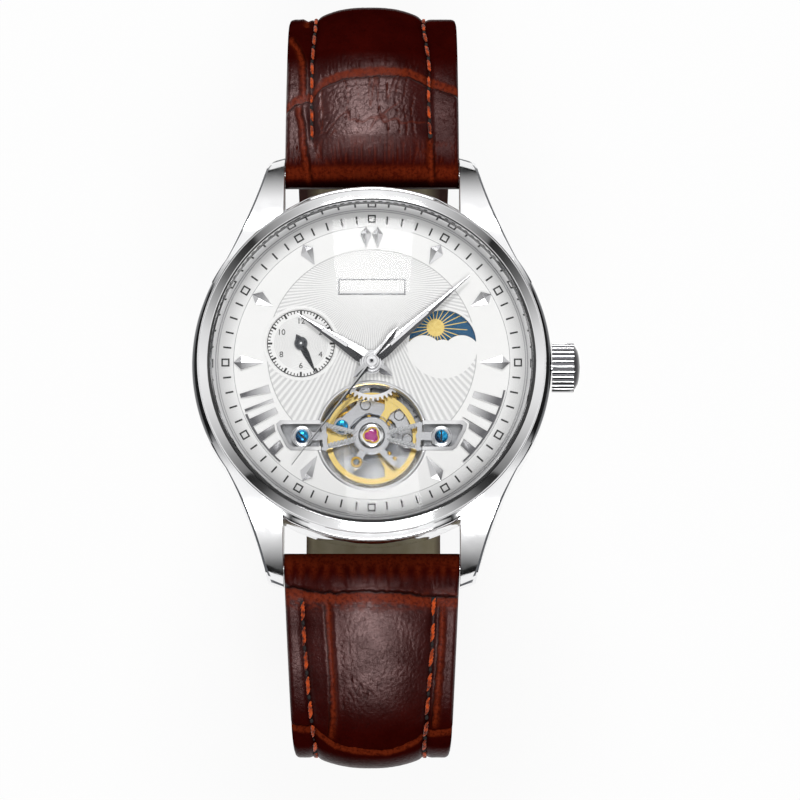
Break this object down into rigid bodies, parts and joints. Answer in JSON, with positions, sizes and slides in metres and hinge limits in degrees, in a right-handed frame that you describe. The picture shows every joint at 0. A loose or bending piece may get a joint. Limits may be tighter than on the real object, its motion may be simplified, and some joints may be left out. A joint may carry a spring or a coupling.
{
  "type": "skeleton wristwatch",
  "caption": "Automatic skeleton wristwatch with an open balance, second time zone, day and night disc, steel case and padded leather strap closed on its pin buckle.",
  "frame": {"origin": "centre of the outer face of the case back", "axes": "+Z out of the dial, +Y towards 12 o'clock, +X towards the crown"},
  "size_m": [0.0439, 0.0895, 0.0487],
  "materials": {
    "polished_steel": "polished stainless steel",
    "brushed_steel": "satin steel",
    "hand_steel": "polished steel",
    "sapphire": "clear",
    "black_rubber": "matt",
    "gilt_brass": "gilt",
    "silvered_brass": "silvered",
    "blued_steel": "heat blued",
    "blue_enamel": "gloss",
    "spring_alloy": "bright",
    "ruby": "polished synthetic ruby",
    "brown_calf": "embossed, glazed",
    "beige_lining": "matt"
  },
  "bodies": {
    "watch": {"mid_case": "polished_steel", "bezel": "polished_steel", "crystal": "sapphire", "case_gaskets": "black_rubber", "rehaut_ring": "polished_steel", "case_back": "polished_steel", "case_back_glass": "sapphire", "crown_tube": "brushed_steel", "movement_holder": "gilt_brass", "dial": "silvered_brass", "hour_markers": "polished_steel", "roman_numerals": "polished_steel", "dial_trim": "polished_steel", "main_plate": "brushed_steel", "barrel_bridge": "brushed_steel", "train_bridge": "brushed_steel", "balance_bridge": "brushed_steel", "pallet_bridge": "brushed_steel", "jewels": "ruby", "blued_screws": "blued_steel", "plate_screws": "brushed_steel", "hairspring": "spring_alloy", "strap_top": "brown_calf", "strap_top_lining": "beige_lining", "strap_bottom": "brown_calf", "strap_bottom_lining": "beige_lining", "lug_bars": "brushed_steel", "buckle_frame": "polished_steel", "fixed_keeper": "brown_calf"},
    "left_bar_tips": {"lug_bar_tips_left": "brushed_steel"},
    "right_bar_tips": {"lug_bar_tips_right": "brushed_steel"},
    "crown_slider": {"crown_gasket": "black_rubber"},
    "crown_and_stem": {"crown": "polished_steel", "winding_stem": "brushed_steel"},
    "winding_pinion": {"winding_pinion": "brushed_steel"},
    "crown_wheel": {"crown_wheel": "brushed_steel"},
    "ratchet_wheel": {"ratchet_wheel": "brushed_steel"},
    "click": {"click": "brushed_steel"},
    "rotor": {"rotor": "gilt_brass"},
    "minute_hand": {"minute_hand": "hand_steel", "cannon_pinion": "brushed_steel"},
    "hour_hand": {"hour_hand": "hand_steel", "hour_wheel": "brushed_steel"},
    "minute_wheel": {"minute_wheel": "gilt_brass"},
    "zone_idler": {"zone_idler": "gilt_brass"},
    "zone_hand": {"zone_hand": "hand_steel"},
    "day_night_idler": {"day_night_idler": "gilt_brass"},
    "day_night_disc": {"day_night_disc": "blue_enamel"},
    "second_hand": {"second_hand": "hand_steel"},
    "third_wheel": {"third_wheel": "gilt_brass"},
    "centre_wheel": {"centre_wheel": "gilt_brass"},
    "mainspring_barrel": {"mainspring_barrel": "gilt_brass", "mainspring": "spring_alloy"},
    "fourth_wheel": {"fourth_wheel": "gilt_brass"},
    "escape_wheel": {"escape_wheel": "brushed_steel"},
    "pallet_fork": {"pallet_fork": "brushed_steel"},
    "balance": {"balance_wheel": "gilt_brass"},
    "regulator": {"regulator": "gilt_brass"},
    "buckle_tongue": {"buckle_tongue": "polished_steel"},
    "free_keeper": {"free_keeper": "brown_calf"}
  },
  "joints": [
    {"name": "left_bar_tips_spring", "type": "slide", "parent": "watch", "child": "left_bar_tips", "axis": [1, 0, 0], "range_m": [0, 0.0008], "stiffness_N_per_m": 400},
    {"name": "right_bar_tips_spring", "type": "slide", "parent": "watch", "child": "right_bar_tips", "axis": [-1, 0, 0], "range_m": [0, 0.0008], "stiffness_N_per_m": 400},
    {"name": "crown_pull", "type": "slide", "parent": "watch", "child": "crown_slider", "axis": [1, 0, 0], "range_m": [0, 0.0012]},
    {"name": "crown_turn", "type": "hinge", "parent": "crown_slider", "child": "crown_and_stem", "pos_m": [0.02, 0, 0.0062], "axis": [1, 0, 0], "continuous": true},
    {"name": "winding_pinion_turn", "type": "hinge", "parent": "watch", "child": "winding_pinion", "pos_m": [0.013, 0, 0.0062], "axis": [1, 0, 0], "continuous": true},
    {"name": "crown_wheel_turn", "type": "hinge", "parent": "watch", "child": "crown_wheel", "pos_m": [0.0096, 0, 0.0041], "axis": [0, 0, 1], "continuous": true},
    {"name": "ratchet_wheel_turn", "type": "hinge", "parent": "watch", "child": "ratchet_wheel", "pos_m": [0.0042, 0.0047, 0.0041], "axis": [0, 0, 1], "continuous": true},
    {"name": "click_tilt", "type": "hinge", "parent": "watch", "child": "click", "pos_m": [0.0093, 0.0072, 0.0041], "axis": [0, 0, 1], "range_deg": [-10, 0]},
    {"name": "rotor_turn", "type": "hinge", "parent": "watch", "child": "rotor", "pos_m": [0, 0, 0.003], "axis": [0, 0, 1], "continuous": true},
    {"name": "minute_hand_turn", "type": "hinge", "parent": "watch", "child": "minute_hand", "pos_m": [0, 0, 0.0106], "axis": [0, 0, 1], "continuous": true},
    {"name": "hour_hand_turn", "type": "hinge", "parent": "watch", "child": "hour_hand", "pos_m": [0, 0, 0.0102], "axis": [0, 0, 1], "continuous": true},
    {"name": "minute_wheel_turn", "type": "hinge", "parent": "watch", "child": "minute_wheel", "pos_m": [-0.00044, 0.00508, 0.0086], "axis": [0, 0, 1], "continuous": true},
    {"name": "zone_idler_turn", "type": "hinge", "parent": "watch", "child": "zone_idler", "pos_m": [-0.00612, -0.00021, 0.0086], "axis": [0, 0, 1], "continuous": true},
    {"name": "zone_hand_turn", "type": "hinge", "parent": "watch", "child": "zone_hand", "pos_m": [-0.008, 0.0022, 0.0098], "axis": [0, 0, 1], "continuous": true},
    {"name": "day_night_idler_turn", "type": "hinge", "parent": "watch", "child": "day_night_idler", "pos_m": [0.00655, -0.00103, 0.0086], "axis": [0, 0, 1], "continuous": true},
    {"name": "day_night_disc_turn", "type": "hinge", "parent": "watch", "child": "day_night_disc", "pos_m": [0.008, 0.00224, 0.0092], "axis": [0, 0, 1], "continuous": true},
    {"name": "second_hand_turn", "type": "hinge", "parent": "watch", "child": "second_hand", "pos_m": [0, 0, 0.011], "axis": [0, 0, 1], "continuous": true},
    {"name": "third_wheel_turn", "type": "hinge", "parent": "watch", "child": "third_wheel", "pos_m": [-0.0048, -0.00173, 0.006], "axis": [0, 0, 1], "continuous": true},
    {"name": "centre_wheel_turn", "type": "hinge", "parent": "watch", "child": "centre_wheel", "pos_m": [0, 0, 0.0064], "axis": [0, 0, 1], "continuous": true},
    {"name": "mainspring_barrel_turn", "type": "hinge", "parent": "watch", "child": "mainspring_barrel", "pos_m": [0.0042, 0.0047, 0.006], "axis": [0, 0, 1], "continuous": true, "deforming": ["mainspring"]},
    {"name": "fourth_wheel_turn", "type": "hinge", "parent": "watch", "child": "fourth_wheel", "pos_m": [-0.00073, -0.00441, 0.006], "axis": [0, 0, 1], "continuous": true},
    {"name": "escape_wheel_turn", "type": "hinge", "parent": "watch", "child": "escape_wheel", "pos_m": [0.0031, -0.0056, 0.006], "axis": [0, 0, 1], "continuous": true},
    {"name": "pallet_fork_rock", "type": "hinge", "parent": "watch", "child": "pallet_fork", "pos_m": [0.004, -0.0083, 0.0058], "axis": [0, 0, 1], "range_deg": [-5, 5]},
    {"name": "balance_swing", "type": "hinge", "parent": "watch", "child": "balance", "pos_m": [0, -0.00833, 0.0074], "axis": [0, 0, 1], "range_deg": [-140, 140], "stiffness_Nm_per_rad": 0.0000009, "deforming": ["hairspring"]},
    {"name": "regulator_turn", "type": "hinge", "parent": "watch", "child": "regulator", "pos_m": [0, -0.00833, 0.0097], "axis": [0, 0, 1], "range_deg": [-6, 6]},
    {"name": "buckle_tongue_lift", "type": "hinge", "parent": "watch", "child": "buckle_tongue", "pos_m": [0, 0.004, -0.03112], "axis": [1, 0, 0], "range_deg": [0, 6]},
    {"name": "free_keeper_slide", "type": "slide", "parent": "watch", "child": "free_keeper", "axis": [0, 0.955, 0.2967], "range_m": [-0.004, 0.004]}
  ],
  "couplings": [
    {"joint": "winding_pinion_turn", "follows": "crown_turn", "ratio": 1},
    {"joint": "crown_wheel_turn", "follows": "crown_turn", "ratio": 0.5},
    {"joint": "ratchet_wheel_turn", "follows": "crown_turn", "ratio": -0.41026},
    {"joint": "minute_wheel_turn", "follows": "minute_hand_turn", "ratio": -0.33333},
    {"joint": "hour_hand_turn", "follows": "minute_hand_turn", "ratio": 0.083333},
    {"joint": "zone_idler_turn", "follows": "minute_hand_turn", "ratio": -0.16667},
    {"joint": "zone_hand_turn", "follows": "minute_hand_turn", "ratio": 0.083333},
    {"joint": "day_night_idler_turn", "follows": "minute_hand_turn", "ratio": -0.13333},
    {"joint": "day_night_disc_turn", "follows": "minute_hand_turn", "ratio": 0.041667},
    {"joint": "third_wheel_turn", "follows": "second_hand_turn", "ratio": -0.125},
    {"joint": "centre_wheel_turn", "follows": "second_hand_turn", "ratio": 0.016667},
    {"joint": "mainspring_barrel_turn", "follows": "second_hand_turn", "ratio": -0.0020833},
    {"joint": "fourth_wheel_turn", "follows": "second_hand_turn", "ratio": 1.6667},
    {"joint": "escape_wheel_turn", "follows": "second_hand_turn", "ratio": -12}
  ]
}
